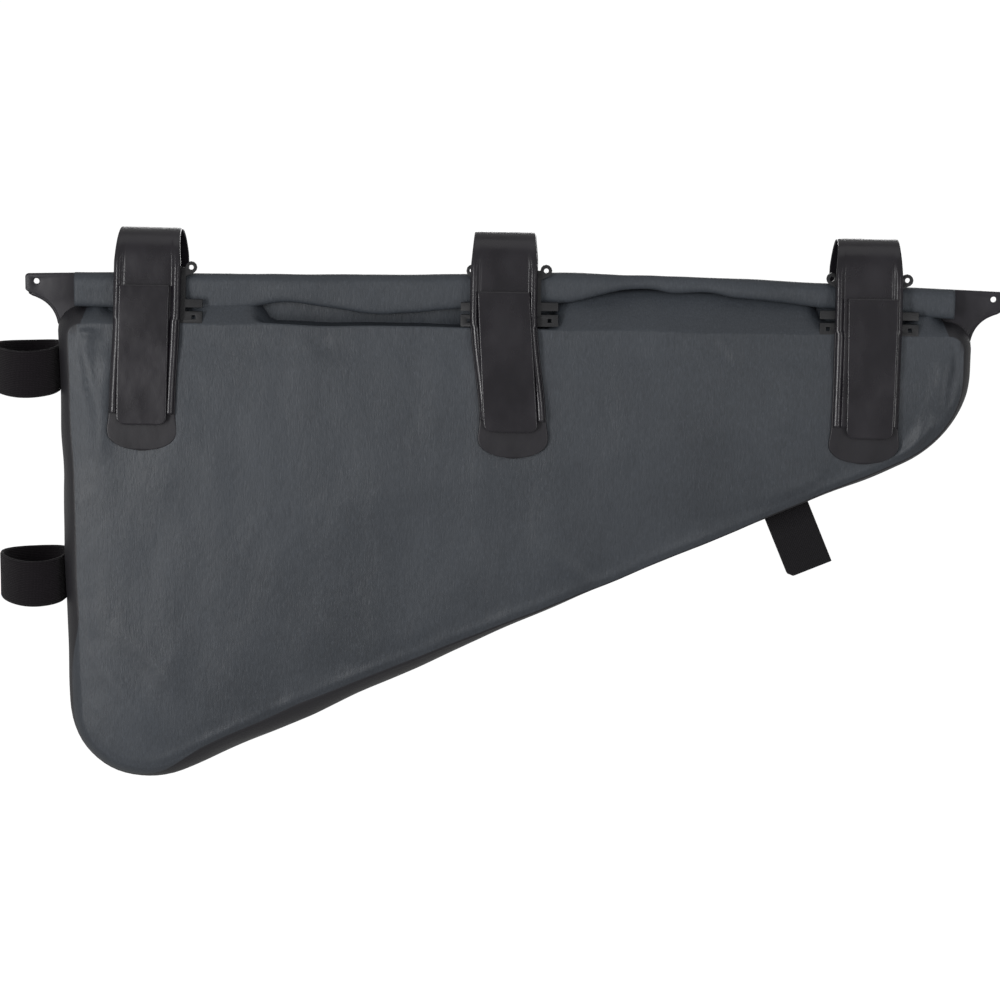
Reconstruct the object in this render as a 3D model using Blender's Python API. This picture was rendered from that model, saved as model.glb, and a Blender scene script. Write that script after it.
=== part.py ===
"""Bicycle frame bag: a roll-top bag that hangs under the top tube from three strap loops."""
import math

import bmesh
import bpy
from mathutils import Matrix, Vector

# The origin is on the axis of the top tube under the middle strap. X runs forward along the tube and Z up.
GAP = 0.0003
SHEET = 0.0014

# Bag body
BODY_LENGTH = 0.485
BODY_CENTRE_X = 0.0045
BODY_HEIGHT = 0.286
BODY_TOP_Z = -0.025
TOP_DEPTH = 0.042
LOW_DEPTH = 0.060
CORNER_RADIUS = 0.052
BULGE = 0.014
LEAST_RADIUS = 0.0015

# Neck and rolled closure
NECK_SHOULDER = 0.0108
NECK_LENGTH = BODY_LENGTH - 2 * NECK_SHOULDER
NECK_DEPTH = 0.009
NECK_HEIGHT = 0.0155
ROLL_DEPTH = 0.009
ROLL_HEIGHT = 0.0184
ROLL_RISE = 0.0222
ROLL_SAG = 0.0048
TAB_LENGTH = 0.0278
TAB_HEIGHT = 0.0165
TAB_CLEARANCE = 0.0005
TAB_DEPTH = 0.004
TAB_HOLE_RADIUS = 0.0016
TAB_HOLE_INSET = 0.0068
TAB_HOLE_DROP = 0.0052

# Top-tube straps
STRAP_PITCH = 0.189
STRAP_WIDTH = 0.0325
STRAP_FOOT_WIDTH = 0.0355
TONGUE_WIDTH = 0.034
FLAP_WIDTH = 0.0295
FLAP_SHEET = 0.0018
FLAP_TOP_Z = -0.012
FLAP_LOW_Z = -0.0845
TONGUE_LOW_Z = -0.079
BASE_TOP_Z = -0.005
PATCH_WIDTH = 0.0385
PATCH_TOP_Z = -0.0885
PATCH_DROP = 0.0105
BASE_WIDTH = 0.0355
FLAP_CORNER = 0.004
STRAP_LEAN = math.radians(13.0)
LEAN_LOW_Z = -0.0295
KNEE_Z = -0.045
BACK_KNEE_Z = -0.029
BACK_ANCHOR_Z = -0.068

# Plastic clips behind the straps
CLIP_SHEET = 0.0018
CLIP_WIDTH = 0.053
CLIP_CORE_WIDTH = 0.035
CLIP_LOW_Z = -0.0290
CLIP_SHOULDER_Z = -0.0050
EAR_SPAN = 0.0405
EAR_Z = -0.0005
EAR_RADIUS = 0.0031
EAR_HOLE_RADIUS = 0.0013
ARM_GAP = 0.0020
LOWER_ARM_HEIGHT = 0.0060
UPPER_ARM_HEIGHT = 0.0042
ARM_HOLE = 0.0020

# Webbing loops and tail
WEBBING = 0.0250
WEBBING_SHEET = 0.0018
LOOP_REACH = 0.0365
LOOP_DEPTH = 0.0410
LOOP_FOOT = 0.0030
UPPER_LOOP_DROP = 0.0350
LOWER_LOOP_DROP = 0.1492
TAIL_SHARE = 0.484
TAIL_DROP = 0.0375
TAIL_FOOT = 0.0100
TAIL_CUT = 0.0026

# Corners of the widest outline, from the top rear one down, along the slanted lower edge and up the front:
# share of the length, height, corner radius and bulge
CORNERS = (
    (0.000, 0.000, 0.27, 0.57),
    (0.009, 1.000, 0.85, 0.86),
    (0.284, 0.781, 0.00, 1.00),
    (0.622, 0.496, 0.00, 0.21),
    (1.000, 0.218, 1.08, 0.43),
    (1.000, 0.000, 0.27, 0.43),
)
# Gusset sections from the front seam to the back one: share of the half depth and of the bulge
GUSSET = ((-1.00, 0.00), (-0.86, 0.42), (-0.55, 0.80), (0.00, 1.00), (0.55, 0.80), (0.86, 0.42), (1.00, 0.00))
# Rolled closure from its rear end to its front one: share of the length, sag and height
ROLL_SECTIONS = (
    (0.000, 0.92, 1.00),
    (0.083, 0.85, 0.98),
    (0.212, 0.75, 0.79),
    (0.393, 0.50, 0.92),
    (0.490, 0.15, 0.90),
    (0.577, 0.00, 0.76),
    (0.654, 0.10, 0.52),
    (0.728, 0.22, 0.56),
    (0.801, 0.42, 0.58),
    (0.898, 0.75, 0.70),
    (1.000, 1.00, 0.85),
)
# End tab from its inner edge round its tip: share of the length and of the height
TAB_SECTIONS = ((0.00, 0.00), (1.00, 0.06), (1.00, 0.72), (0.80, 0.82), (0.62, 1.00), (0.00, 1.00))
# Half of a seat-tube loop from its foot to its tip: share of the reach and of the half depth
LOOP_SECTIONS = (
    (0.00, 0.60), (0.09, 0.84), (0.26, 0.98), (0.44, 1.00), (0.64, 0.88), (0.81, 0.65), (0.94, 0.34),
)


def clear_scene():
    for old in list(bpy.data.objects):
        bpy.data.objects.remove(old, do_unlink=True)


def material(name, colour, roughness):
    made = bpy.data.materials.new(name)
    made.use_nodes = True
    shader = made.node_tree.nodes["Principled BSDF"]
    shader.inputs["Base Color"].default_value = (*colour, 1.0)
    shader.inputs["Roughness"].default_value = roughness
    shader.inputs["Metallic"].default_value = 0.0
    return made


def add_object(name, mesh_data, colour, roughness):
    mesh = bpy.data.meshes.new(name)
    bmesh.ops.recalc_face_normals(mesh_data, faces=mesh_data.faces)
    mesh_data.to_mesh(mesh)
    mesh_data.free()
    made = bpy.data.objects.new(name, mesh)
    bpy.context.collection.objects.link(made)
    mesh.materials.append(material(name, colour, roughness))
    return made


def cutter(name, mesh_data):
    made = add_object(name, mesh_data, (0.5, 0.5, 0.5), 0.5)
    made.hide_render = True
    made.display_type = "WIRE"
    return made


def combine(target, tool, operation):
    step = target.modifiers.new(tool.name, "BOOLEAN")
    step.operation = operation
    step.solver = "EXACT"
    step.object = tool


def box(low, high):
    data = bmesh.new()
    bmesh.ops.create_cube(data, size=1.0)
    centre = (Vector(low) + Vector(high)) / 2
    size = Vector(high) - Vector(low)
    for vertex in data.verts:
        vertex.co = Vector(c * s for c, s in zip(vertex.co, size)) + centre
    return data


def loft(rings):
    """Closed skin through rings with the same number of points, capped at both ends."""
    data = bmesh.new()
    rows = [[data.verts.new(point) for point in ring] for ring in rings]
    count = len(rows[0])
    for low, high in zip(rows, rows[1:]):
        for i in range(count):
            j = (i + 1) % count
            data.faces.new((low[i], low[j], high[j], high[i]))
    data.faces.new(reversed(rows[0]))
    data.faces.new(rows[-1])
    return data


# Bag body

def half_depth(z):
    share = (BODY_TOP_Z - z) / BODY_HEIGHT
    return (TOP_DEPTH + (LOW_DEPTH - TOP_DEPTH) * share) / 2


def corner_point(corner):
    x = BODY_CENTRE_X + BODY_LENGTH * (corner[0] - 0.5)
    return Vector((x, BODY_TOP_Z - BODY_HEIGHT * corner[1]))


def edge_normal(start, end):
    along = (end - start).normalized()
    return Vector((-along.y, along.x))


def move_in(before, here, after, inset):
    """The corner after both of its edges have moved inward by the inset."""
    first = edge_normal(before, here)
    second = edge_normal(here, after)
    return here + (first + second) * (inset / (1 + first.dot(second)))


def round_corner(before, here, after, radius, steps):
    one = (before - here).normalized()
    two = (after - here).normalized()
    half = one.angle(two) / 2
    centre = here + (one + two).normalized() * (radius / math.sin(half))
    start = here + one * (radius / math.tan(half)) - centre
    end = here + two * (radius / math.tan(half)) - centre
    sweep = math.pi - 2 * half
    points = []
    for i in range(steps + 1):
        share = i / steps
        arm = start * math.sin((1 - share) * sweep) + end * math.sin(share * sweep)
        points.append(centre + arm / math.sin(sweep))
    return points


def outline(bulge_share, wall):
    """The body's outline where its gusset has swelled to a share of the bulge, less a wall."""
    wide = [corner_point(corner) for corner in CORNERS]
    insets = [BULGE * corner[3] * (1 - bulge_share) + wall for corner in CORNERS]
    count = len(wide)
    moved = [move_in(wide[i - 1], wide[i], wide[(i + 1) % count], insets[i]) for i in range(count)]
    points = []
    for i, corner in enumerate(CORNERS):
        if corner[2] == 0:
            points.append(moved[i])
            continue
        radius = max(CORNER_RADIUS * corner[2] - insets[i], LEAST_RADIUS)
        steps = 8 if corner[2] > 0.5 else 4
        points += round_corner(moved[i - 1], moved[i], moved[(i + 1) % count], radius, steps)
    return points


def body_skin(wall):
    rings = []
    for depth_share, bulge_share in GUSSET:
        ring = outline(bulge_share, wall)
        rings.append([(p.x, depth_share * (half_depth(p.y) - wall), p.y) for p in ring])
    data = loft(rings)
    bmesh.ops.triangulate(data, faces=data.faces)
    return data


def neck_box(wall, low, high):
    half = Vector((NECK_LENGTH / 2 - wall, NECK_DEPTH / 2 - wall))
    return box((BODY_CENTRE_X - half.x, -half.y, low), (BODY_CENTRE_X + half.x, half.y, high))


def bag_body():
    top = BODY_TOP_Z + NECK_HEIGHT
    body = add_object("bag_body", body_skin(0.0), (0.062, 0.070, 0.080), 0.75)
    combine(body, cutter("neck", neck_box(0.0, BODY_TOP_Z - 3 * SHEET, top)), "UNION")
    combine(body, cutter("inside", body_skin(SHEET)), "DIFFERENCE")
    combine(body, cutter("mouth", neck_box(SHEET, BODY_TOP_Z - 6 * SHEET, top + SHEET)), "DIFFERENCE")


# Rolled closure and its end tabs

def roll_centre_y():
    return -NECK_DEPTH / 2 - GAP - ROLL_DEPTH / 2


def roll_section(top, height):
    """Upright oval of two half circles joined by straight sides."""
    radius = min(ROLL_DEPTH, height) / 2
    steps = 6
    points = []
    for turn, middle in ((0.0, top - radius), (math.pi, top - height + radius)):
        for i in range(steps + 1):
            angle = turn + math.pi * i / steps
            points.append((roll_centre_y() + radius * math.cos(angle), middle + radius * math.sin(angle)))
    return points


def roll_closure():
    rings = []
    for length_share, sag_share, height_share in ROLL_SECTIONS:
        x = BODY_CENTRE_X + NECK_LENGTH * (length_share - 0.5)
        top = BODY_TOP_Z + ROLL_RISE - ROLL_SAG * sag_share
        rings.append([(x, y, z) for y, z in roll_section(top, ROLL_HEIGHT * height_share)])
    add_object("roll_closure", loft(rings), (0.060, 0.067, 0.076), 0.72)


def closure_ends():
    inner = NECK_LENGTH / 2 + GAP
    top = BODY_TOP_Z + TAB_CLEARANCE + TAB_HEIGHT
    for name, side in (("closure_end_rear", -1), ("closure_end_front", 1)):
        profile = [(inner + TAB_LENGTH * out, top - TAB_HEIGHT * drop) for out, drop in TAB_SECTIONS]
        rings = []
        for depth in (-0.5, 0.5):
            y = -NECK_DEPTH / 2 + depth * TAB_DEPTH
            rings.append([(BODY_CENTRE_X + side * x, y, z) for x, z in profile])
        tab = add_object(name, loft(rings), (0.040, 0.038, 0.044), 0.55)
        hole = bmesh.new()
        centre = (BODY_CENTRE_X + side * (inner + TAB_LENGTH - TAB_HOLE_INSET), -NECK_DEPTH / 2)
        add_pin(hole, centre, top - TAB_HOLE_DROP, TAB_HOLE_RADIUS, 2 * TAB_DEPTH)
        combine(tab, cutter(name + "_hole", hole), "DIFFERENCE")


def add_pin(data, centre, z, radius, length):
    """Adds a round bar along Y, for a hole."""
    turn = Matrix.Rotation(math.pi / 2, 4, "X")
    place = Matrix.Translation((centre[0], centre[1], z)) @ turn
    bmesh.ops.create_cone(data, cap_ends=True, segments=12, radius1=radius, radius2=radius, depth=length,
                          matrix=place)


# Strips of strap and webbing

def ribbon(path, widths, thickness, place):
    """Flat strip along a path in a plane; widths holds both edges of the strip at each point."""
    normals = [edge_normal(a, b) for a, b in zip(path, path[1:])]
    normals = [normals[0]] + normals + [normals[-1]]
    rings = []
    for point, before, after, (low, high) in zip(path, normals, normals[1:], widths):
        arm = (before + after) * (thickness / 2 / (1 + before.dot(after)))
        corners = ((point + arm, low), (point + arm, high), (point - arm, high), (point - arm, low))
        rings.append([place(flat, across) for flat, across in corners])
    return loft(rings)


def across_strap(flat, across):
    return (across, flat.x, flat.y)


def both(half_width):
    return (-half_width, half_width)


def lean_point(distance, z):
    """Point at a height in the stack that leans on the roll, a distance out from the roll's top axis."""
    normal = Vector((-math.cos(STRAP_LEAN), math.sin(STRAP_LEAN)))
    start = Vector((roll_centre_y(), BODY_TOP_Z + ROLL_RISE - ROLL_DEPTH / 2)) + normal * distance
    return Vector((start.x - math.tan(STRAP_LEAN) * (start.y - z), z))


def panel_point(distance, z):
    """Point in front of the front panel, or behind the back one for a negative distance."""
    side = 1 if distance > 0 else -1
    return Vector((-side * half_depth(z) - distance, z))


CLIP_STAND = ROLL_DEPTH / 2 + GAP + CLIP_SHEET / 2
BASE_STAND = CLIP_STAND + CLIP_SHEET / 2 + GAP + SHEET / 2
BASE_LIFT = GAP + SHEET / 2
STRAP_STEP = SHEET + GAP
FLAP_STEP = STRAP_STEP + SHEET / 2 + GAP + FLAP_SHEET / 2


def add_row(name, mesh_data, colour, roughness):
    """Three copies of a piece, one at each strap."""
    first = add_object(name + "_1", mesh_data, colour, roughness)
    first.location.x = -STRAP_PITCH
    made = [first]
    for number in (2, 3):
        copy = bpy.data.objects.new(f"{name}_{number}", first.data)
        copy.location.x = STRAP_PITCH * (number - 2)
        bpy.context.collection.objects.link(copy)
        made.append(copy)
    return made


def strap_bases():
    path = [lean_point(BASE_STAND, BASE_TOP_Z), lean_point(BASE_STAND, LEAN_LOW_Z),
            panel_point(BASE_LIFT, KNEE_Z)]
    widths = [both(BASE_WIDTH / 2)] * 3
    for share in (0.0, 0.35, 0.60, 0.80, 0.92, 0.985):
        path.append(panel_point(BASE_LIFT, PATCH_TOP_Z - PATCH_DROP * share))
        widths.append(both(PATCH_WIDTH / 2 * math.sqrt(1 - share ** 2)))
    add_row("strap_base", ribbon(path, widths, SHEET, across_strap), (0.032, 0.030, 0.036), 0.42)


def top_straps():
    stand = BASE_STAND + STRAP_STEP
    lift = BASE_LIFT + STRAP_STEP
    path = [panel_point(lift, TONGUE_LOW_Z), panel_point(lift, KNEE_Z), lean_point(stand, LEAN_LOW_Z),
            lean_point(stand, FLAP_TOP_Z)]
    widths = [both(TONGUE_WIDTH / 2)] * 3 + [both(STRAP_FOOT_WIDTH / 2)]
    radius = abs(lean_point(stand, 0.0).x) * math.cos(STRAP_LEAN)
    back_knee = panel_point(-BASE_LIFT, BACK_KNEE_Z)
    first = math.pi - STRAP_LEAN
    last = math.atan2(back_knee.y, back_knee.x) + math.acos(radius / back_knee.length)
    steps = 14
    for i in range(steps + 1):
        angle = first + (last - first) * i / steps
        path.append(Vector((math.cos(angle), math.sin(angle))) * radius)
        flare = (STRAP_FOOT_WIDTH - STRAP_WIDTH) * (1 - math.sin(angle))
        widths.append(both((STRAP_WIDTH + flare) / 2))
    path += [back_knee, panel_point(-BASE_LIFT, BACK_ANCHOR_Z)]
    widths += [both(STRAP_FOOT_WIDTH / 2)] * 2
    add_row("top_strap", ribbon(path, widths, SHEET, across_strap), (0.030, 0.029, 0.034), 0.40)


def strap_flaps():
    stand = BASE_STAND + FLAP_STEP
    lift = BASE_LIFT + FLAP_STEP
    path = [lean_point(stand, FLAP_TOP_Z), lean_point(stand, LEAN_LOW_Z), panel_point(lift, KNEE_Z)]
    widths = [both(FLAP_WIDTH / 2)] * 3
    for share in (0.0, 0.4, 0.7, 0.9, 1.0):
        path.append(panel_point(lift, FLAP_LOW_Z + FLAP_CORNER * (1 - share)))
        widths.append(both(FLAP_WIDTH / 2 - FLAP_CORNER * (1 - math.sqrt(1 - share ** 2))))
    add_row("strap_flap", ribbon(path, widths, FLAP_SHEET, across_strap), (0.030, 0.029, 0.034), 0.38)


def strap_clips():
    core = CLIP_CORE_WIDTH / 2
    arm = CLIP_WIDTH / 2
    lower_top = CLIP_LOW_Z + LOWER_ARM_HEIGHT
    upper_low = lower_top + ARM_GAP
    upper_top = upper_low + UPPER_ARM_HEIGHT
    half = [(arm, CLIP_LOW_Z), (arm, lower_top), (core, lower_top), (core, upper_low), (arm, upper_low),
            (arm, upper_top), (core, upper_top), (core, CLIP_SHOULDER_Z)]
    for degrees in range(-60, 181, 30):
        angle = math.radians(degrees)
        half.append((EAR_SPAN / 2 + EAR_RADIUS * math.cos(angle), EAR_Z + EAR_RADIUS * math.sin(angle)))
    whole = half + [(-x, z) for x, z in reversed(half)]
    rings = []
    for side in (-0.5, 0.5):
        stand = CLIP_STAND + side * CLIP_SHEET
        rings.append([(x, lean_point(stand, z).x, z) for x, z in whole])
    clips = add_row("strap_clip", loft(rings), (0.018, 0.018, 0.020), 0.45)
    holes = bmesh.new()
    for side in (-1, 1):
        ear_y = lean_point(CLIP_STAND, EAR_Z).x
        add_pin(holes, (side * EAR_SPAN / 2, ear_y), EAR_Z, EAR_HOLE_RADIUS, 4 * CLIP_SHEET)
        middle = Vector((side * (core + arm) / 2, 0, CLIP_LOW_Z + LOWER_ARM_HEIGHT / 2))
        middle.y = lean_point(CLIP_STAND, middle.z).x
        size = Matrix.Diagonal((ARM_HOLE, 4 * CLIP_SHEET, ARM_HOLE, 1.0))
        bmesh.ops.create_cube(holes, size=1.0, matrix=Matrix.Translation(middle) @ size)
    for clip, hole in zip(clips, add_row("clip_holes", holes, (0.5, 0.5, 0.5), 0.5)):
        hole.hide_render = True
        hole.display_type = "WIRE"
        combine(clip, hole, "DIFFERENCE")


# Webbing on the gusset

def seat_loops():
    for name, drop in (("seat_loop_upper", UPPER_LOOP_DROP), ("seat_loop_lower", LOWER_LOOP_DROP)):
        z = BODY_TOP_Z - drop
        top = corner_point(CORNERS[0]).lerp(corner_point(CORNERS[1]), (drop - WEBBING / 2) / BODY_HEIGHT)
        root = top.x - GAP - WEBBING_SHEET / 2
        reach = LOOP_REACH - GAP - WEBBING_SHEET
        depth = (LOOP_DEPTH - WEBBING_SHEET) / 2
        half = [Vector((root, LOOP_FOOT))]
        half += [Vector((root - reach * out, depth * wide)) for out, wide in LOOP_SECTIONS]
        tip = Vector((root - reach, 0.0))
        path = half + [tip] + [Vector((p.x, -p.y)) for p in reversed(half)]
        widths = [both(WEBBING / 2)] * len(path)

        def place(flat, across, z=z):
            return (flat.x, flat.y, z + across)

        add_object(name, ribbon(path, widths, WEBBING_SHEET, place), (0.0095, 0.0078, 0.0097), 0.85)


def down_strap():
    rear = corner_point(CORNERS[3])
    front = corner_point(CORNERS[4])
    root = rear.lerp(front, TAIL_SHARE)
    along = (front - rear).normalized()
    out = -edge_normal(rear, front)
    lift = GAP + WEBBING_SHEET / 2
    path = [Vector((TAIL_FOOT, lift)), Vector((0.0, lift)), Vector((0.0, TAIL_DROP - TAIL_CUT)),
            Vector((0.0, TAIL_DROP))]
    edge = WEBBING / 2
    widths = [both(edge)] * 3 + [(TAIL_CUT - edge, edge)]

    def place(flat, across):
        spot = root + along * across + out * flat.y
        return (spot.x, flat.x, spot.y)

    add_object("down_strap", ribbon(path, widths, WEBBING_SHEET, place), (0.0150, 0.0140, 0.0160), 0.85)


clear_scene()
bag_body()
roll_closure()
closure_ends()
top_straps()
strap_bases()
strap_flaps()
strap_clips()
seat_loops()
down_strap()
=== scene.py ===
"""Looks of a roll-top bicycle frame bag: coated fabric shell, rolled closure, straps, clips and webbing."""
import math

import bmesh
import bpy
import numpy as np
from mathutils import Matrix, Vector, geometry, noise


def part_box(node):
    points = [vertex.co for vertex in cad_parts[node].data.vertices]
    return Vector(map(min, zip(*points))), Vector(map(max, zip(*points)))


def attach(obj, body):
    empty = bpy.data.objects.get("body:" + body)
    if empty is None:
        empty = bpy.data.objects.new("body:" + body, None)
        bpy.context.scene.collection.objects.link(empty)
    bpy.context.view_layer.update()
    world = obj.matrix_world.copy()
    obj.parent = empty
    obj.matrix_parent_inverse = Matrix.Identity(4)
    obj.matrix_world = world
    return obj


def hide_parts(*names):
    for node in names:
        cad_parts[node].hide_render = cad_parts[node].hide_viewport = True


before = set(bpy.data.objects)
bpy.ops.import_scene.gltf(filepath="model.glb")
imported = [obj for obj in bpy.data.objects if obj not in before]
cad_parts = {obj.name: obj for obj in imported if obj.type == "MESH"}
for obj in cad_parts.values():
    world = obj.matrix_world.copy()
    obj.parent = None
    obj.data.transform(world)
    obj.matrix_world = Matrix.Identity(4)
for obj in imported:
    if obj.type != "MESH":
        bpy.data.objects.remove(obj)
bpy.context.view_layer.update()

# Camera: a pixel of the photograph at the target is SCALE wide
ELEVATION = math.radians(12.5)
AZIMUTH = math.radians(0.8)
ROLL_ANGLE = math.radians(1.0)
CAMERA_DISTANCE = 1.5
PIXELS = 1000
SCALE = 0.000532
SENSOR = 36.0
TARGET = Vector((-0.0007, -0.020, -0.1236))

# Floor and light
FLOOR_Z = -1.1
FLOOR_HALF = 60.0
WORLD_LIGHT = 0.42

# Bag body, as in the frame
BODY_LOW, BODY_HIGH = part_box("bag_body")
BODY_LENGTH = BODY_HIGH.x - BODY_LOW.x
BODY_CENTRE_X = (BODY_HIGH.x + BODY_LOW.x) / 2
NECK_HEIGHT = 0.0155
BODY_TOP_Z = BODY_HIGH.z - NECK_HEIGHT
BODY_HEIGHT = 0.286
TOP_DEPTH = 0.042
LOW_DEPTH = 0.060
CORNER_RADIUS = 0.052
BULGE = 0.014
LEAST_RADIUS = 0.0015
# Corners from the top rear one down, along the slanted edge and up the front:
# share of the length, height, corner radius and bulge
CORNERS = (
    (0.000, 0.000, 0.27, 0.57),
    (0.009, 1.000, 0.85, 0.86),
    (0.284, 0.781, 0.00, 1.00),
    (0.622, 0.496, 0.00, 0.21),
    (1.000, 0.218, 1.08, 0.43),
    (1.000, 0.000, 0.27, 0.43),
)
EDGE_STEP = 0.003
PANEL_STEP = 0.0028
GUSSET_RINGS = 28
SEAM_RINGS = (0.0006, 0.0012, 0.0018, 0.0024, 0.0032, 0.0042, 0.0056, 0.0074)
CROWN = 0.0032
CROWN_REACH = 0.013
SWELL = 0.0034
SWELL_REACH = 0.075
# The body's top behind the seam is sunk between these places along X, and full elsewhere
SUNK_FROM_X = -0.136
SUNK_TO_X = 0.030
SUNK_FADE = 0.014
SUNK_DEPTH = 0.0065
WAVE = 0.0009
WAVE_LENGTH = 0.034
WAVE_SEED = 7
SEAM_RIDGE = 0.0006
SEAM_LIFT = 0.0008
SEAM_INSET = 0.0030
SEAM_WIDTH = 0.0026
# Outside the sunk place the top slopes up to the roll like a tent, but lies low behind each strap
TENT = 0.022
TENT_POWER = 1.5
TENT_REACH = 0.72
TENT_CLEAR = 0.020
TENT_FADE = 0.012
# The panel's fabric reaches over the lower rear corner
WRAP_X = -0.232
WRAP_Z = -0.262
WRAP_REACH = 0.075
WRAP_FADE = 0.045
WRAP = 0.0105

# Folds of the front panel: start and end as X and Z, width and height
FOLDS = (
    (-0.2262, -0.0290, -0.2170, -0.0400, 0.0020, 0.0022),
    (-0.2150, -0.0300, -0.2195, -0.0385, 0.0016, 0.0018),
    (-0.2210, -0.0420, -0.2165, -0.0720, 0.0030, 0.0020),
    (-0.2100, -0.0500, -0.2130, -0.0950, 0.0045, 0.0018),
    (-0.1975, -0.2000, -0.1660, -0.2330, 0.0050, 0.0010),
    (-0.2150, -0.2150, -0.1850, -0.2540, 0.0045, 0.0009),
    (-0.1500, -0.2150, -0.1180, -0.2480, 0.0045, 0.0007),
    (-0.0900, -0.1900, -0.0600, -0.2200, 0.0040, 0.0006),
    (0.0200, -0.1450, 0.0500, -0.1680, 0.0040, 0.0010),
    (0.1150, -0.0330, 0.1230, -0.0450, 0.0020, 0.0014),
    (0.2330, -0.0420, 0.2300, -0.0700, 0.0028, 0.0022),
    (0.2240, -0.0780, 0.2080, -0.0980, 0.0030, 0.0020),
    (0.1650, -0.1080, 0.1400, -0.1200, 0.0035, 0.0010),
    (0.2300, -0.0450, 0.2180, -0.0900, 0.0040, 0.0014),
)

# Rolled closure
ROLL_LOW, ROLL_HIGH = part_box("roll_closure")
ROLL_CENTRE_Y = (ROLL_LOW.y + ROLL_HIGH.y) / 2
ROLL_DEPTH = ROLL_HIGH.y - ROLL_LOW.y
ROLL_HEIGHT = 0.0184
ROLL_SAG = 0.0048
ROLL_SHEET = 0.0011
ROLL_STEP = 0.0016
# From the rear end to the front one: share of the length, sag and height
ROLL_SECTIONS = (
    (0.000, 0.92, 1.00),
    (0.083, 0.85, 1.05),
    (0.147, 0.80, 1.12),
    (0.188, 0.77, 1.02),
    (0.240, 0.72, 0.80),
    (0.292, 0.64, 0.98),
    (0.345, 0.56, 1.16),
    (0.373, 0.52, 1.12),
    (0.419, 0.40, 1.03),
    (0.490, 0.15, 0.96),
    (0.564, 0.00, 0.85),
    (0.616, 0.05, 0.50),
    (0.651, 0.10, 0.40),
    (0.680, 0.14, 0.50),
    (0.720, 0.20, 0.42),
    (0.749, 0.26, 0.54),
    (0.801, 0.42, 0.62),
    (0.859, 0.60, 0.74),
    (0.898, 0.75, 0.76),
    (1.000, 1.00, 0.85),
)
ROLL_HEM = 0.0013

# Straps: layers lean on the roll, then lie on the panel
GAP = 0.0003
SHEET = 0.0014
STRAP_LEAN = math.radians(13.0)
LEAN_LOW_Z = -0.0295
KNEE_Z = -0.045
STRAP_STEP = SHEET + GAP
CLIP_STAND = ROLL_DEPTH / 2 + GAP + 0.0009
BASE_STAND = CLIP_STAND + 0.0009 + GAP + SHEET / 2
BASE_LIFT = 0.0012
FLAP_SHEET = 0.0018
FLAP_STEP = STRAP_STEP + SHEET / 2 + GAP + FLAP_SHEET / 2
PATH_STEP = 0.0012
ACROSS = 48
BAND_HALF = 0.0176
PATCH_HALF = 0.0186
RIM = 0.0045
RIM_RISE = 0.0012
FLAP_CORNER = 0.0042
# Each strap: shift of the arch, of the flap's top, of its foot and of the patch, all along X,
# half the flap's width at its top and foot, and the height of the arch as a share
STRAPS = (
    (0.0012, 0.0000, -0.0010, -0.0012, 0.0134, 0.0134, 0.92),
    (-0.0006, -0.0007, 0.0045, 0.0056, 0.0138, 0.0144, 1.0),
    (0.0014, 0.0035, 0.0036, 0.0012, 0.0134, 0.0124, 1.0),
)
# Each clip: shift along X and Z, turn in degrees and length of its rear half as a share
CLIPS = ((0.0036, -0.0026, 0.0, 0.70), (0.0012, -0.0012, -1.0, 0.93), (0.0014, -0.0022, 0.0, 0.95))

# Seat-tube loops: half of a loop from its foot to its tip, share of the reach and of the half depth
LOOP_SECTIONS = (
    (0.00, 0.60), (0.09, 0.84), (0.26, 0.98), (0.44, 1.00), (0.64, 0.88), (0.81, 0.65), (0.94, 0.34),
)
WEBBING = 0.0250
WEBBING_SHEET = 0.0018
TAIL_SHARE = 0.484
TAIL_DROP = 0.0375


def smooth(value):
    share = np.clip(value, 0.0, 1.0)
    return share * share * (3 - 2 * share)


def add_piece(name, data, materials, nodes=()):
    """Turns a bmesh into a piece of the bag that stands for the named nodes."""
    mesh = bpy.data.meshes.new(name)
    bmesh.ops.recalc_face_normals(data, faces=data.faces)
    data.to_mesh(mesh)
    data.free()
    mesh.shade_smooth()
    piece = bpy.data.objects.new(name, mesh)
    bpy.context.scene.collection.objects.link(piece)
    for material in materials:
        mesh.materials.append(material)
    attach(piece, "root")
    if nodes:
        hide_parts(*nodes)
    return piece


# Materials

def add_node(tree, kind, inputs=None, **settings):
    made = tree.nodes.new(kind)
    for key, value in settings.items():
        setattr(made, key, value)
    for key, value in (inputs or {}).items():
        if isinstance(value, bpy.types.NodeSocket):
            tree.links.new(value, made.inputs[key])
        else:
            made.inputs[key].default_value = value
    return made


def new_material(name, roughness, specular):
    made = bpy.data.materials.new(name)
    made.use_nodes = True
    shader = made.node_tree.nodes["Principled BSDF"]
    shader.inputs["Roughness"].default_value = roughness
    shader.inputs["Specular IOR Level"].default_value = specular
    return made, made.node_tree, shader


def place_of(tree, scale, attribute=None):
    """Coordinates in metres times a scale, from the piece's own frame or from a strip's run."""
    if attribute:
        source = add_node(tree, "ShaderNodeAttribute", attribute_name=attribute).outputs["Vector"]
    else:
        source = add_node(tree, "ShaderNodeTexCoord").outputs["Object"]
    return add_node(tree, "ShaderNodeMapping", {"Vector": source, "Scale": scale}).outputs["Vector"]


def noise_of(tree, scale, detail=2.0, roughness=0.5, attribute=None):
    where = place_of(tree, scale, attribute)
    made = add_node(tree, "ShaderNodeTexNoise", {"Vector": where, "Scale": 1.0, "Detail": detail,
                                                 "Roughness": roughness})
    return made.outputs["Fac"]


def math_of(tree, operation, first, second):
    return add_node(tree, "ShaderNodeMath", {0: first, 1: second}, operation=operation).outputs[0]


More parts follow.
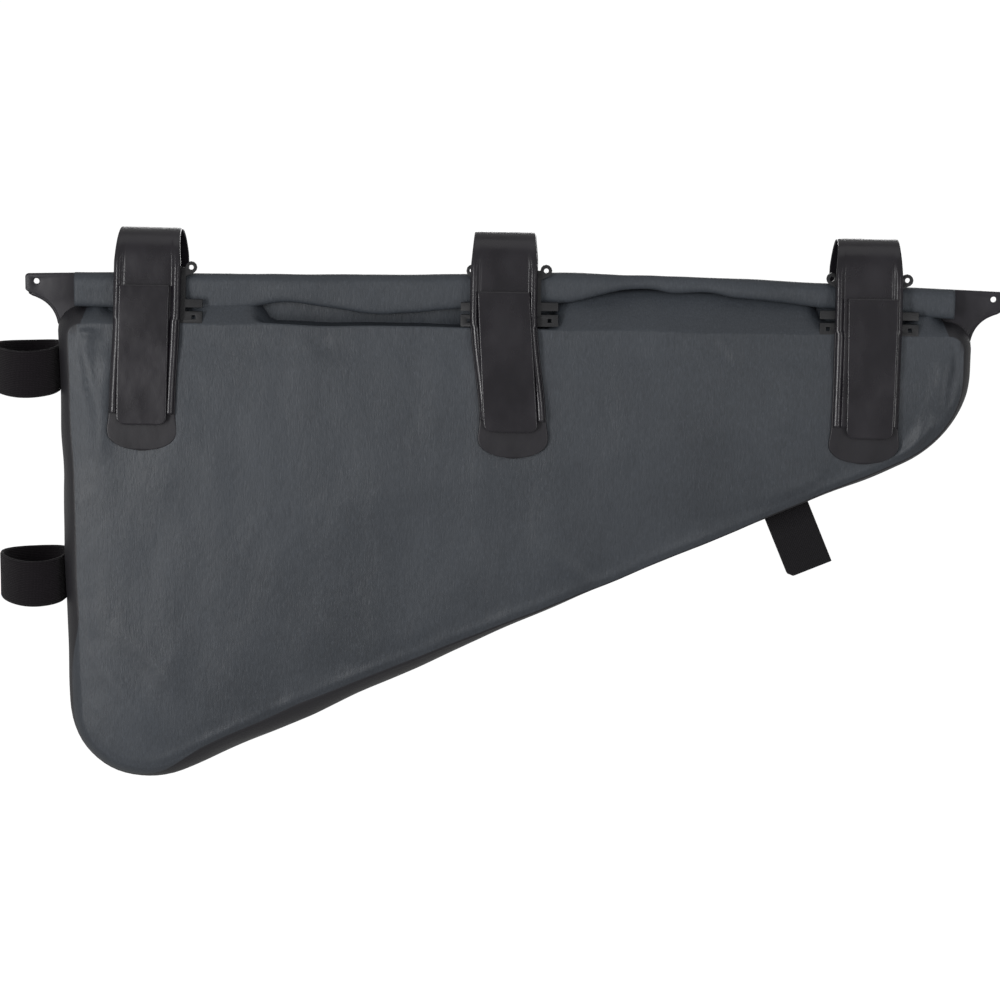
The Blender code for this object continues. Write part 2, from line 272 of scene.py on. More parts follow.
def ramp(tree, factor, stops):
    made = add_node(tree, "ShaderNodeValToRGB", {"Fac": factor})
    elements = made.color_ramp.elements
    while len(elements) < len(stops):
        elements.new(0.5)
    for element, (position, colour) in zip(elements, stops):
        element.position = position
        element.color = (*colour, 1.0)
    return made.outputs["Color"]


def mix(tree, factor, first, second):
    made = add_node(tree, "ShaderNodeMix", {"Factor": factor}, data_type="RGBA")
    for socket, value in ((made.inputs[6], first), (made.inputs[7], second)):
        if isinstance(value, bpy.types.NodeSocket):
            tree.links.new(value, socket)
        else:
            socket.default_value = (*value, 1.0)
    return made.outputs[2]


def bump(tree, height, distance, strength=1.0, normal=None):
    made = add_node(tree, "ShaderNodeBump", {"Height": height, "Distance": distance, "Strength": strength})
    if normal:
        tree.links.new(normal, made.inputs["Normal"])
    return made.outputs["Normal"]


def shade(value, factor):
    return tuple(channel * factor for channel in value)


def coated_fabric(name, colour, contrast, roughness, specular):
    """Coated cloth with fine upright crinkle lines, pale flecks and slow cloudy wear."""
    made, tree, shader = new_material(name, roughness, specular)
    streaks = noise_of(tree, (1300, 1300, 260), 3.0, 0.65)
    flecks = noise_of(tree, (1100, 1100, 380), 1.0)
    clouds = noise_of(tree, (16, 16, 11), 3.0)
    pattern = math_of(tree, "ADD", math_of(tree, "MULTIPLY", streaks, 0.55),
                      math_of(tree, "MULTIPLY", clouds, 0.45))
    tint = ramp(tree, pattern, ((0.34, shade(colour, 1 - contrast)), (0.66, shade(colour, 1 + contrast))))
    light_fleck = ramp(tree, flecks, ((0.60, (0, 0, 0)), (0.74, (1, 1, 1))))
    tint = mix(tree, math_of(tree, "MULTIPLY", light_fleck, 0.26), tint, shade(colour, 1.9))
    tree.links.new(tint, shader.inputs["Base Color"])
    wear = ramp(tree, clouds, ((0.35, (roughness - 0.05,) * 3), (0.7, (roughness + 0.07,) * 3)))
    tree.links.new(wear, shader.inputs["Roughness"])
    crinkle = noise_of(tree, (110, 110, 70), 3.0, 0.55)
    soft = bump(tree, crinkle, 0.00045)
    tree.links.new(bump(tree, streaks, 0.00022, 0.8, soft), shader.inputs["Normal"])
    return made, tree, shader, tint


def body_material():
    """Slate coated cloth; the bare gusset, split from it by the cover, gets painted shade in a near-black colour; the
    corners beside the tabs are black.
    """
    made, tree, shader, tint = coated_fabric("body_fabric", (0.0252, 0.0290, 0.0348), 0.26, 0.50, 0.36)
    place = add_node(tree, "ShaderNodeSeparateXYZ", {"Vector": place_of(tree, (1, 1, 1))})
    rear = step_of(tree, place.outputs["X"], -0.2252, -0.2246, 1.0, 0.0)
    high = step_of(tree, place.outputs["Z"], -0.0400, -0.0330, 0.0, 1.0)
    front = step_of(tree, place.outputs["X"], 0.2386, 0.2392, 0.0, 1.0)
    corner = math_of(tree, "MULTIPLY", math_of(tree, "MAXIMUM", rear, front), high)
    cover = add_node(tree, "ShaderNodeAttribute", attribute_name="cover").outputs["Fac"]
    # Painted shade: where the panel's fabric doesn't cover the gusset, it is darkened to stand in for the shade on
    # the turned-away gusset
    gusset_painted_shade = step_of(tree, cover, -0.0005, 0.0001, 1.0, 0.0)
    corner_black_and_painted_shade = math_of(tree, "MAXIMUM", corner, gusset_painted_shade)
    # The near-black colour is the corners' real black and, on the bare gusset, painted shade
    tree.links.new(mix(tree, corner_black_and_painted_shade, tint, (0.0100, 0.0096, 0.0115)), shader.inputs["Base Color"])
    return made


def step_of(tree, value, low, high, start, end):
    made = add_node(tree, "ShaderNodeMapRange", {"Value": value, "From Min": low, "From Max": high,
                                                 "To Min": start, "To Max": end})
    return made.outputs[0]


def strap_material(name, colour, roughness, specular):
    """Semi-gloss coated strap with fine pores and soft rubbed patches."""
    made, tree, shader = new_material(name, roughness, specular)
    grain = noise_of(tree, (1700, 1700, 1700), 2.0)
    rubbed = noise_of(tree, (55, 55, 38), 3.0)
    tint = ramp(tree, rubbed, ((0.32, shade(colour, 0.82)), (0.70, shade(colour, 1.25))))
    tree.links.new(tint, shader.inputs["Base Color"])
    wear = ramp(tree, rubbed, ((0.35, (roughness - 0.06,) * 3), (0.7, (roughness + 0.08,) * 3)))
    tree.links.new(wear, shader.inputs["Roughness"])
    soft = bump(tree, noise_of(tree, (90, 90, 60), 2.0), 0.00030)
    tree.links.new(bump(tree, grain, 0.00005, 0.6, soft), shader.inputs["Normal"])
    return made


def webbing_material(name, colour):
    """Woven nylon tape: ribs along the tape crossed by short picks, both from the strip's own run."""
    made, tree, shader = new_material(name, 0.85, 0.12)
    run = add_node(tree, "ShaderNodeAttribute", attribute_name="run").outputs["Vector"]
    ribs = add_node(tree, "ShaderNodeTexWave", {"Vector": run, "Scale": 330.0, "Distortion": 0.4},
                    bands_direction="X").outputs["Fac"]
    picks = add_node(tree, "ShaderNodeTexWave", {"Vector": run, "Scale": 430.0, "Distortion": 0.8},
                     bands_direction="Y").outputs["Fac"]
    weave = math_of(tree, "MULTIPLY", ribs, picks)
    tint = ramp(tree, weave, ((0.05, shade(colour, 0.6)), (0.7, shade(colour, 1.5))))
    tree.links.new(tint, shader.inputs["Base Color"])
    tree.links.new(bump(tree, weave, 0.0003), shader.inputs["Normal"])
    shader.inputs["Sheen Weight"].default_value = 0.05
    return made


def plastic_material():
    """Moulded black plastic with a fine spark-eroded surface."""
    made, tree, shader = new_material("clip_plastic", 0.46, 0.36)
    grain = noise_of(tree, (2500, 2500, 2500), 2.0)
    tint = ramp(tree, grain, ((0.3, (0.006, 0.006, 0.007)), (0.7, (0.011, 0.011, 0.012))))
    tree.links.new(tint, shader.inputs["Base Color"])
    tree.links.new(bump(tree, grain, 0.00004, 0.7), shader.inputs["Normal"])
    return made


# Bag shell

def half_depth(z):
    return (TOP_DEPTH + (LOW_DEPTH - TOP_DEPTH) * (BODY_TOP_Z - z) / BODY_HEIGHT) / 2


def corner_point(corner):
    return Vector((BODY_CENTRE_X + BODY_LENGTH * (corner[0] - 0.5), BODY_TOP_Z - BODY_HEIGHT * corner[1]))


def edge_normal(start, end):
    along = (end - start).normalized()
    return Vector((-along.y, along.x))


def move_in(before, here, after, inset):
    first = edge_normal(before, here)
    second = edge_normal(here, after)
    return here + (first + second) * (inset / (1 + first.dot(second)))


def round_corner(before, here, after, radius, steps):
    one = (before - here).normalized()
    two = (after - here).normalized()
    half = one.angle(two) / 2
    centre = here + (one + two).normalized() * (radius / math.sin(half))
    start = here + one * (radius / math.tan(half)) - centre
    end = here + two * (radius / math.tan(half)) - centre
    sweep = math.pi - 2 * half
    shares = [i / steps for i in range(steps + 1)]
    arms = [start * math.sin((1 - s) * sweep) + end * math.sin(s * sweep) for s in shares]
    return [centre + arm / math.sin(sweep) for arm in arms]


def outline(bulge_share, inset):
    """Outline of the body in X and Z where the gusset has swelled to a share of its bulge, moved in."""
    wide = [corner_point(corner) for corner in CORNERS]
    insets = [BULGE * corner[3] * (1 - bulge_share) + inset for corner in CORNERS]
    count = len(wide)
    moved = [move_in(wide[i - 1], wide[i], wide[(i + 1) % count], insets[i]) for i in range(count)]
    corners = []
    for i, corner in enumerate(CORNERS):
        full = CORNER_RADIUS * (corner[2] if corner[2] else 0.9)
        radius = max(full - insets[i], LEAST_RADIUS)
        steps = max(6, round(22 * full / CORNER_RADIUS))
        corners.append(round_corner(moved[i - 1], moved[i], moved[(i + 1) % count], radius, steps))
    points = []
    for i, arc in enumerate(corners):
        following = corners[(i + 1) % count][0]
        span = (wide[(i + 1) % count] - wide[i]).length
        steps = max(2, round(span / EDGE_STEP * 0.8))
        points += arc
        points += [arc[-1].lerp(following, step / steps) for step in range(1, steps)]
    return points


def depth_inside(points):
    """Distance of each point of the panel from the seam."""
    seam = np.array([tuple(p) for p in outline(0.0, 0.0)])
    ahead = np.roll(seam, -1, axis=0)
    run = ahead - seam
    length = (run ** 2).sum(1)
    away = points[:, None, :] - seam[None, :, :]
    share = np.clip((away * run).sum(2) / length, 0, 1)
    near = np.sqrt(((away - share[:, :, None] * run) ** 2).sum(2))
    return near.min(1)


def crown_height(depth, z):
    near = CROWN * (1 - np.exp(-depth / CROWN_REACH)) * smooth((BODY_TOP_Z - 0.008 - z) / 0.024)
    return near + SWELL * (1 - np.exp(-(depth / SWELL_REACH) ** 2))


def seam_show(x, z):
    """How far the seam stands out: not along the top, a little at the rear, most along the slant."""
    return smooth((BODY_TOP_Z - 0.020 - z) / 0.015) * (0.2 + 0.8 * smooth((x + 0.200) / 0.060))


def tent(x):
    """How far the top slopes up to the roll at a place along X, as a share."""
    ends = smooth((BODY_LENGTH / 2 - 0.016 - abs(x - BODY_CENTRE_X)) / 0.010)
    behind = min(abs(x - strap_x(number)) for number in (1, 2, 3))
    return float((1 - sunk(x)) * ends * smooth((behind - TENT_CLEAR) / TENT_FADE))


def wrap(x, z):
    """How far the panel's fabric reaches over the edge."""
    away = np.hypot(x - WRAP_X, z - WRAP_Z)
    return WRAP * smooth((WRAP_REACH - away) / WRAP_FADE)


def sunk(x):
    """1 where the body's top is sunk behind its front seam, 0 where it is full."""
    return float(smooth((x - SUNK_FROM_X) / SUNK_FADE) * smooth((SUNK_TO_X - x) / SUNK_FADE))


def fold_height(x, z, row):
    start = np.array(row[0:2])
    run = np.array(row[2:4]) - start
    length = np.hypot(*run)
    across = ((x - start[0]) * run[1] - (z - start[1]) * run[0]) / length
    along = ((x - start[0]) * run[0] + (z - start[1]) * run[1]) / length ** 2
    ends = smooth((along + 0.35) / 0.6) * smooth((1.35 - along) / 0.6)
    return row[5] * ends * np.exp(-(across / row[4]) ** 2)


def slow_noise(x, z, wave, seed):
    return np.array([noise.noise((a / wave, b / wave, seed)) for a, b in zip(x, z)])


def panel_relief(points, side):
    """How far the panel stands out of its flat plane: crown, seam, folds and slow waves."""
    x = points[:, 0]
    z = points[:, 1]
    depth = depth_inside(points)
    relief = crown_height(depth, z)
    uneven = 1 + 0.8 * slow_noise(x, z, 0.028, 12.0 + side)
    relief += SEAM_LIFT * uneven * seam_show(x, z) * np.exp(-((depth - SEAM_INSET) / SEAM_WIDTH) ** 2)
    clear = smooth((depth - 0.003) / 0.012)
    relief += clear * 0.0014 * slow_noise(x, z, 0.070, 3.0 + side)
    relief += clear * 0.0006 * slow_noise(x * 1.3, z * 0.7, 0.024, 9.0 + side)
    pucker = slow_noise(x, z, 0.011, 5.0 + side) * np.exp(-((depth - 0.007) / 0.006) ** 2)
    relief += 0.0005 * pucker
    for row in FOLDS:
        relief += fold_height(x, z, row) * smooth((depth - 0.001) / 0.004)
    return relief


def panel_mesh(side):
    """Points and faces of one panel: rings beside the seam, then an even net of triangles."""
    rings = [[tuple(p) for p in outline(0.0, inset)] for inset in (0.0, *SEAM_RINGS)]
    count = len(rings[0])
    flat = [point for ring in rings for point in ring]
    faces = []
    for level in range(len(rings) - 1):
        for i in range(count):
            j = (i + 1) % count
            low = level * count
            faces.append((low + i, low + j, low + count + j, low + count + i))
    inner = [Vector(p) for p in rings[-1]]
    lows = [min(p[k] for p in inner) for k in (0, 1)]
    highs = [max(p[k] for p in inner) for k in (0, 1)]
    row_step = PANEL_STEP * math.sqrt(0.75)
    seeds = []
    for row in range(int((highs[1] - lows[1]) / row_step)):
        shift = PANEL_STEP / 2 * (row % 2)
        for column in range(int((highs[0] - lows[0]) / PANEL_STEP)):
            seeds.append((lows[0] + shift + column * PANEL_STEP, lows[1] + row * row_step))
    seeds = np.array(seeds)
    inner_depth = depth_inside(seeds)
    polygon = np.array(rings[-1])
    inside = inside_polygon(seeds, polygon) & (inner_depth > SEAM_RINGS[-1] + PANEL_STEP * 0.6)
    cloud = inner + [Vector(p) for p in seeds[inside]]
    net = geometry.delaunay_2d_cdt(cloud, [], [list(range(len(inner)))], 1, 1e-7)
    start = len(flat)
    flat += [tuple(p) for p in net[0]]
    faces += [tuple(start + i for i in face) for face in net[2]]
    points = np.array(flat)
    relief = panel_relief(points, side)
    solid = [(x, side * (half_depth(z) + lift), z) for (x, z), lift in zip(flat, relief)]
    cover = wrap(points[:, 0], points[:, 1]) + depth_inside(points)
    return solid, faces, cover


def inside_polygon(points, polygon):
    ahead = np.roll(polygon, -1, axis=0)
    x = points[:, 0, None]
    z = points[:, 1, None]
    crosses = (polygon[:, 1] > z) != (ahead[:, 1] > z)
    rise = ahead[:, 1] - polygon[:, 1]
    rise = np.where(rise == 0, 1e-12, rise)
    at = polygon[:, 0] + (z - polygon[:, 1]) * (ahead[:, 0] - polygon[:, 0]) / rise
    return (crosses & (x < at)).sum(1) % 2 == 1


def is_top(p):
    """Whether a point of the outline is on the body's top edge."""
    inner = BODY_LENGTH / 2 - 0.016
    return p.y > BODY_TOP_Z - 0.0105 and abs(p.x - BODY_CENTRE_X) < inner


def gusset_mesh():
    """Rings from the front seam round the swelled gusset to the back one, and which edge is the top."""
    rings = []
    for k in range(GUSSET_RINGS + 1):
        depth = -math.cos(math.pi * k / GUSSET_RINGS)
        inward = 1 - abs(depth)
        swell = (1 - depth ** 2) ** 0.65
        ridge = SEAM_RIDGE * math.exp(-(inward / 0.03) ** 2) if 0 < k < GUSSET_RINGS else 0.0
        flat = outline(swell, 0.0)
        ring = []
        for i, p in enumerate(flat):
            out = edge_normal(flat[i - 1], flat[(i + 1) % len(flat)])
            wave = noise.noise((p.x / 0.030, depth * 0.8, p.y / 0.030)) * 0.0008 * (1 - depth ** 2)
            lift = 0.0
            if is_top(p):
                ridge_here = ridge * sunk(p.x)
                lift = TENT * tent(p.x) * min(inward, TENT_REACH) ** TENT_POWER - SUNK_DEPTH * sunk(p.x) * smooth(inward / 0.25)
            else:
                ridge_here = ridge * seam_show(p.x, p.y)
            wave += ridge_here
            ring.append((p.x - out.x * wave, depth * half_depth(p.y), p.y - out.y * wave + lift))
        rings.append(ring)
    count = len(rings[0])
    points = [point for ring in rings for point in ring]
    faces = []
    for level in range(GUSSET_RINGS):
        for i in range(count):
            j = (i + 1) % count
            low = level * count
            faces.append((low + i, low + j, low + count + j, low + count + i))
    return points, faces, gusset_cover(np.array(rings))


def gusset_cover(rings):
    """How far each point of the gusset lies under the panel's fabric; less than nothing where it's bare, and there
    the body's material paints shade.
    """
    steps = np.linalg.norm(np.diff(rings, axis=0), axis=2)
    from_front = np.vstack([np.zeros(rings.shape[1]), np.cumsum(steps, axis=0)])
    from_seam = np.minimum(from_front, from_front[-1] - from_front)
    cover = wrap(rings[:, :, 0], rings[:, :, 2]) - from_seam
    plain = outline(1.0, 0.0)
    on_top = [is_top(p) for p in plain]
    cover[:, on_top] = 0.010
    return cover.ravel()


def bag_shell(look):
    data = bmesh.new()
    layer = data.verts.layers.float.new("cover")
    for points, faces, cover in (panel_mesh(-1), panel_mesh(1), gusset_mesh()):
        corners = [data.verts.new(p) for p in points]
        for corner, value in zip(corners, cover):
            corner[layer] = value
        for face in faces:
            data.faces.new([corners[i] for i in face])
    bmesh.ops.remove_doubles(data, verts=data.verts, dist=0.00002)
    noise.seed_set(WAVE_SEED)
    for corner in data.verts:
        drift = noise.noise_vector(corner.co / WAVE_LENGTH) * WAVE
        corner.co += Vector((drift.x, 0.0, drift.z))
    return add_piece("bag_shell", data, (look,), ("bag_body",))


def table_at(rows, share, column):
    """Smooth value of a table's column at a share of the length."""
    for i in range(len(rows) - 1):
        if share <= rows[i + 1][0] or i == len(rows) - 2:
            local = (share - rows[i][0]) / (rows[i + 1][0] - rows[i][0])
            values = [rows[min(max(i + k, 0), len(rows) - 1)][column] for k in (-1, 0, 1, 2)]
            bend = (values[2] - values[0]) / 2
            next_bend = (values[3] - values[1]) / 2
            square = local * local
            cube = square * local
            return ((2 * cube - 3 * square + 1) * values[1] + (cube - 2 * square + local) * bend
                    + (3 * square - 2 * cube) * values[2] + (cube - square) * next_bend)
    return rows[-1][column]


def roll_line(x, share):
    """Cross-section of the closure: up from the neck's back, over the roll, down its front and inside."""
    wobble = noise.noise((x / 0.026, 1.7, 0.0)) * 0.0005
    top = ROLL_HIGH.z - ROLL_SAG * table_at(ROLL_SECTIONS, share, 1) - ROLL_SHEET / 2
    height = ROLL_HEIGHT * table_at(ROLL_SECTIONS, share, 2) - ROLL_SHEET + wobble
    outer = min(ROLL_DEPTH, height) / 2 - ROLL_SHEET / 2
    centre = ROLL_CENTRE_Y + noise.noise((x / 0.040, 4.1, 0.0)) * 0.0005
    line = [Vector((0.0048, BODY_TOP_Z - 0.0040)), Vector((0.0030, BODY_TOP_Z + 0.0016)),
            Vector((0.0010, BODY_TOP_Z + 0.0075)), Vector((-0.0016, BODY_TOP_Z + 0.0130))]
    line += [Vector((centre + outer * math.cos(a), top - outer + outer * math.sin(a)))
             for a in np.radians(np.linspace(52, 180, 9))]
    low = top - height
    line += [Vector((centre - outer - 0.0004, low + ROLL_HEM + (top - outer - low - ROLL_HEM) * rise))
             for rise in (0.8, 0.5, 0.2)]
    line += [Vector((centre - outer + ROLL_HEM * (1 + math.cos(a)), low + ROLL_HEM * (1 + math.sin(a))))
             for a in np.radians(np.linspace(180, 330, 6))]
    line += [Vector((centre + outer * out, low + outer * up)) for out, up in ((-0.2, 0.55), (0.55, 0.7), (0.95, 1.2))]
    inner = outer - 1.7 * ROLL_SHEET
    line += [Vector((centre + inner * math.cos(a) + 0.0003, top - outer + inner * math.sin(a)))
             for a in np.radians(np.linspace(0, 180, 8))]
    line += [Vector((centre - inner, low + outer))]
    line += [Vector((centre + inner * math.cos(a) * 0.8, low + outer + inner * math.sin(a)))
             for a in np.radians(np.linspace(180, 330, 7))]
    return line


def even_path(points, step, passes):
    """Resamples a path evenly and rounds its bends; both ends stay."""
    lengths = [0.0]
    for a, b in zip(points, points[1:]):
        lengths.append(lengths[-1] + (b - a).length)
    count = max(2, round(lengths[-1] / step))
    return resample(points, lengths, count, passes)


def resample(points, lengths, count, passes):
    flat = np.array([tuple(p) for p in points])
    at = np.linspace(0, lengths[-1], count + 1)
    made = np.stack([np.interp(at, lengths, flat[:, k]) for k in range(flat.shape[1])], axis=1)
    for _ in range(passes):
        made[1:-1] = (made[:-2] + 2 * made[1:-1] + made[2:]) / 4
    return [Vector(p) for p in made]


def fixed_path(points, count, passes):
    lengths = [0.0]
    for a, b in zip(points, points[1:]):
        lengths.append(lengths[-1] + (b - a).length)
    return resample(points, lengths, count, passes)


def roll(look):
    """The folded closure as one sheet, wavy along its lower edge."""
    data = bmesh.new()
    length = ROLL_HIGH.x - ROLL_LOW.x
    columns = round(length / ROLL_STEP)
    points_along = 96
    rows = []
    for column in range(columns + 1):
        share = column / columns
        x = ROLL_LOW.x + length * share
        line = fixed_path(roll_line(x, share), points_along, 2)
        rows.append([])
        for i, p in enumerate(line):
            outward = noise.noise((x / 0.024, i * 0.07, 7.0)) * 0.0005
            rows[-1].append(data.verts.new((x, p.x + outward, p.y + outward * 0.5)))
    for left, right in zip(rows, rows[1:]):
        for i in range(points_along):
            data.faces.new((left[i], left[i + 1], right[i + 1], right[i]))
    piece = add_piece("rolled_closure", data, (look,), ("roll_closure",))
    thick = piece.modifiers.new("sheet", "SOLIDIFY")
    thick.thickness = ROLL_SHEET
    thick.offset = 0.0
    return piece


def neck(look):
    """The bag's mouth below the roll: a flat sleeve that flares onto the body's top."""
    length = (ROLL_HIGH.x - ROLL_LOW.x) / 2 - 0.001
    sections = ((-0.0060, 0.0150), (-0.0022, 0.0120), (0.0004, 0.0076), (0.0030, 0.0056), (0.0065, 0.0044),
                (0.0110, 0.0030), (0.0140, 0.0014))
    data = bmesh.new()
    rings = []
    columns = 180
    for rise, half in sections:
        ring = []
        for side in (-1, 1):
            for column in range(columns + 1):
                share = column / columns if side < 0 else 1 - column / columns
                x = BODY_CENTRE_X + length * (2 * share - 1)
                ends = math.sqrt(max(0.0, 1 - abs(2 * share - 1) ** 24))
                wave = noise.noise((x / 0.02, side * 3.0, rise / 0.02)) * 0.0005
                low = sunk(x) * max(0.0, 0.004 - rise)
                width = half - sunk(x) * max(0.0, half - 0.0048)
                ring.append(data.verts.new((x, side * width * ends + wave - 0.0010, BODY_TOP_Z + rise - low)))
        rings.append(ring)
    count = len(rings[0])
    for low, high in zip(rings, rings[1:]):
        for i in range(count):
            j = (i + 1) % count
            data.faces.new((low[i], low[j], high[j], high[i]))
    data.faces.new(rings[-1])
    data.faces.new(rings[0])
    bmesh.ops.remove_doubles(data, verts=data.verts, dist=0.00002)
    return add_piece("neck_sleeve", data, (look,), ("bag_body",))


# End tabs

def end_tab(side, look):
    """Stiff coated tab at the roll's end, with a hole and a thick lip along its hollow lower edge."""
    low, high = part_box("closure_end_rear" if side < 0 else "closure_end_front")
    tip = low.x if side < 0 else high.x
    root = (high.x if side < 0 else low.x) - side * 0.006
    middle_y = (low.y + high.y) / 2
    top = high.z
    drop = -0.0165
    curve_start = Vector((tip - side * 0.0026, top - 0.0112))
    knee = Vector((tip - side * 0.0178, top - 0.0148))
    foot = Vector((tip - side * 0.0192, top + drop - 0.0125))
    hollow = [curve_start.lerp(knee, t).lerp(knee.lerp(foot, t), t) for t in np.linspace(0, 1, 15)]
    border = [Vector((root, top - 0.0002)), Vector((tip - side * 0.0018, top - 0.0012)),
              Vector((tip - side * 0.0008, top - 0.0022)), Vector((tip - side * 0.0008, top - 0.0098))]
    border += hollow
    border += [Vector((root, top - 0.0260)), Vector((root, top - 0.0120))]
    hole_centre = Vector((tip - side * 0.0068, top - 0.0052))
    hole = [hole_centre + Vector((math.cos(a), math.sin(a))) * 0.00155
            for a in np.linspace(0, 2 * math.pi, 24, endpoint=False)]
    data = bmesh.new()
    edges = []
    for loop in (border, hole):
        corners = [data.verts.new((p.x, middle_y, p.y)) for p in loop]
        edges += [data.edges.new((corners[i - 1], corners[i])) for i in range(len(corners))]
    bmesh.ops.triangle_fill(data, use_beauty=True, edges=edges)
    name = "closure_tab_rear" if side < 0 else "closure_tab_front"
    node = "closure_end_rear" if side < 0 else "closure_end_front"
    tab = add_piece(name, data, (look,), (node,))
    thick = tab.modifiers.new("sheet", "SOLIDIFY")
    thick.thickness = 0.0026
    thick.offset = 0.0
    soft = tab.modifiers.new("edge", "BEVEL")
    soft.width = 0.0007
    soft.segments = 3
    soft.limit_method = "ANGLE"
    lip = [Vector((p.x, middle_y, p.y)) for p in hollow]
    round_bar(name + "_lip", lip, 0.0014, look)
    return tab


def round_bar(name, path, radius, look):
    """Closed round bar along a path in an upright plane."""
    data = bmesh.new()
    sides = 12
    rings = []
    for i, p in enumerate(path):
        along = (path[min(i + 1, len(path) - 1)] - path[max(i - 1, 0)]).normalized()
        across = Vector((0, 1, 0))
        up = along.cross(across)
        size = radius * (0.55 if i in (0, len(path) - 1) else 1.0)
        rings.append([data.verts.new(p + (across * math.cos(a) + up * math.sin(a)) * size)
                      for a in np.linspace(0, 2 * math.pi, sides, endpoint=False)])
    for low, high in zip(rings, rings[1:]):
        for i in range(sides):
            j = (i + 1) % sides
            data.faces.new((low[i], low[j], high[j], high[i]))
    data.faces.new(rings[0])
    data.faces.new(rings[-1])
    return add_piece(name, data, (look,))


# Straps

def lean_point(distance, z):
    normal = Vector((-math.cos(STRAP_LEAN), math.sin(STRAP_LEAN)))
    start = Vector((ROLL_CENTRE_Y, ROLL_HIGH.z - ROLL_DEPTH / 2)) + normal * distance
    return Vector((start.x - math.tan(STRAP_LEAN) * (start.y - z), z))


def crown_at(x, z):
    return float(crown_height(depth_inside(np.array([[x, z]]))[0], z))


def panel_point(distance, z, x):
    side = 1 if distance > 0 else -1
    return Vector((-side * (half_depth(z) + crown_at(x, z)) - distance, z))


def strip(data, path, halves, centres, sheet, relief, shares=None):
    """Closed strap skin along a path in Y and Z, with round edges and relief on its outer face."""
    run_layer = data.verts.layers.float_vector.get("run") or data.verts.layers.float_vector.new("run")
    rings = []
    travelled = 0.0
    total = sum((b - a).length for a, b in zip(path, path[1:]))
    for i, p in enumerate(path):
        if i:
            travelled += (p - path[i - 1]).length
        out = edge_normal(path[max(i - 1, 0)], path[min(i + 1, len(path) - 1)])
        ring = []
        for face in (1, -1):
            for k in range(ACROSS + 1):
                even = 2 * k / ACROSS - 1
                u = face * (0.7 * math.sin(math.pi / 2 * even) + 0.3 * even)
                edge = halves[i] * (1 - abs(u))
                round_off = math.sqrt(max(0.0, 1 - max(0.0, 1 - edge / (sheet / 2)) ** 2))
                rise = sheet / 2 * round_off
                if face > 0:
                    share = shares[i] if shares else 1.0
                    rise += relief(edge, travelled, total - travelled) * round_off * share
                spot = p + out * (rise * face)
                made = data.verts.new((centres[i] + halves[i] * u, spot.x, spot.y))
                made[run_layer] = (halves[i] * u, travelled, 0.0)
                ring.append(made)
        rings.append(ring)
    count = len(rings[0])
    for low, high in zip(rings, rings[1:]):
        for i in range(count):
            j = (i + 1) % count
            data.faces.new((low[i], low[j], high[j], high[i]))
    data.faces.new(rings[0])
    data.faces.new(rings[-1])
    bmesh.ops.remove_doubles(data, verts=data.verts, dist=0.000005)


def raised_panel(border, end_border, rise, groove):
    """Relief of a strap: the border slopes up to a groove, and the inner panel lies inside it."""
    def relief(edge, from_start, from_end):
        near = min(edge / border, from_start / end_border, from_end / end_border)
        dip = math.exp(-((near - 1.12) / 0.13) ** 2)
        return rise * min(near, 1.0) - groove * dip
    return relief


def rimmed(width, rise, groove):
    """Relief of a strap with a round raised rim along both edges and a narrow groove inside each."""
    def relief(edge, from_start, from_end):
        near = edge / width
        rim = math.sin(math.pi * near) ** 0.8 if near < 1 else 0.0
        return rise * rim - groove * math.exp(-((near - 1.06) / 0.12) ** 2)
    return relief


def strap_x(number):
    low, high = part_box(f"strap_flap_{number}")
    return (low.x + high.x) / 2


def base_strip(number, look):
    arch_shift, _, _, patch_shift = STRAPS[number - 1][:4]
    middle = strap_x(number)
    patch_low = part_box(f"strap_base_{number}")[0].z
    patch_top = patch_low + 0.0104
    corners = [lean_point(BASE_STAND, -0.005), lean_point(BASE_STAND, LEAN_LOW_Z)]
    corners += [panel_point(BASE_LIFT, z, middle) for z in (KNEE_Z, -0.060, -0.075, patch_top, patch_low)]
    path = even_path(corners, PATH_STEP, 14)
    halves = []
    centres = []
    for p in path:
        share = min(1.0, max(0.0, (patch_top - p.y) / (patch_top - patch_low)))
        widen = smooth((patch_top + 0.010 - p.y) / 0.010)
        half = BAND_HALF + (PATCH_HALF - BAND_HALF) * widen
        halves.append(max(0.0022, half * math.sqrt(1 - min(share, 0.996) ** 2.2)))
        centres.append(middle + arch_shift + (patch_shift - arch_shift) * smooth((-0.020 - p.y) / 0.066))
    data = bmesh.new()
    strip(data, path, halves, centres, SHEET, raised_panel(0.0012, 0.0012, 0.0003, 0.0))
    return add_piece(f"strap_base_{number}_patch", data, (look,), (f"strap_base_{number}",))


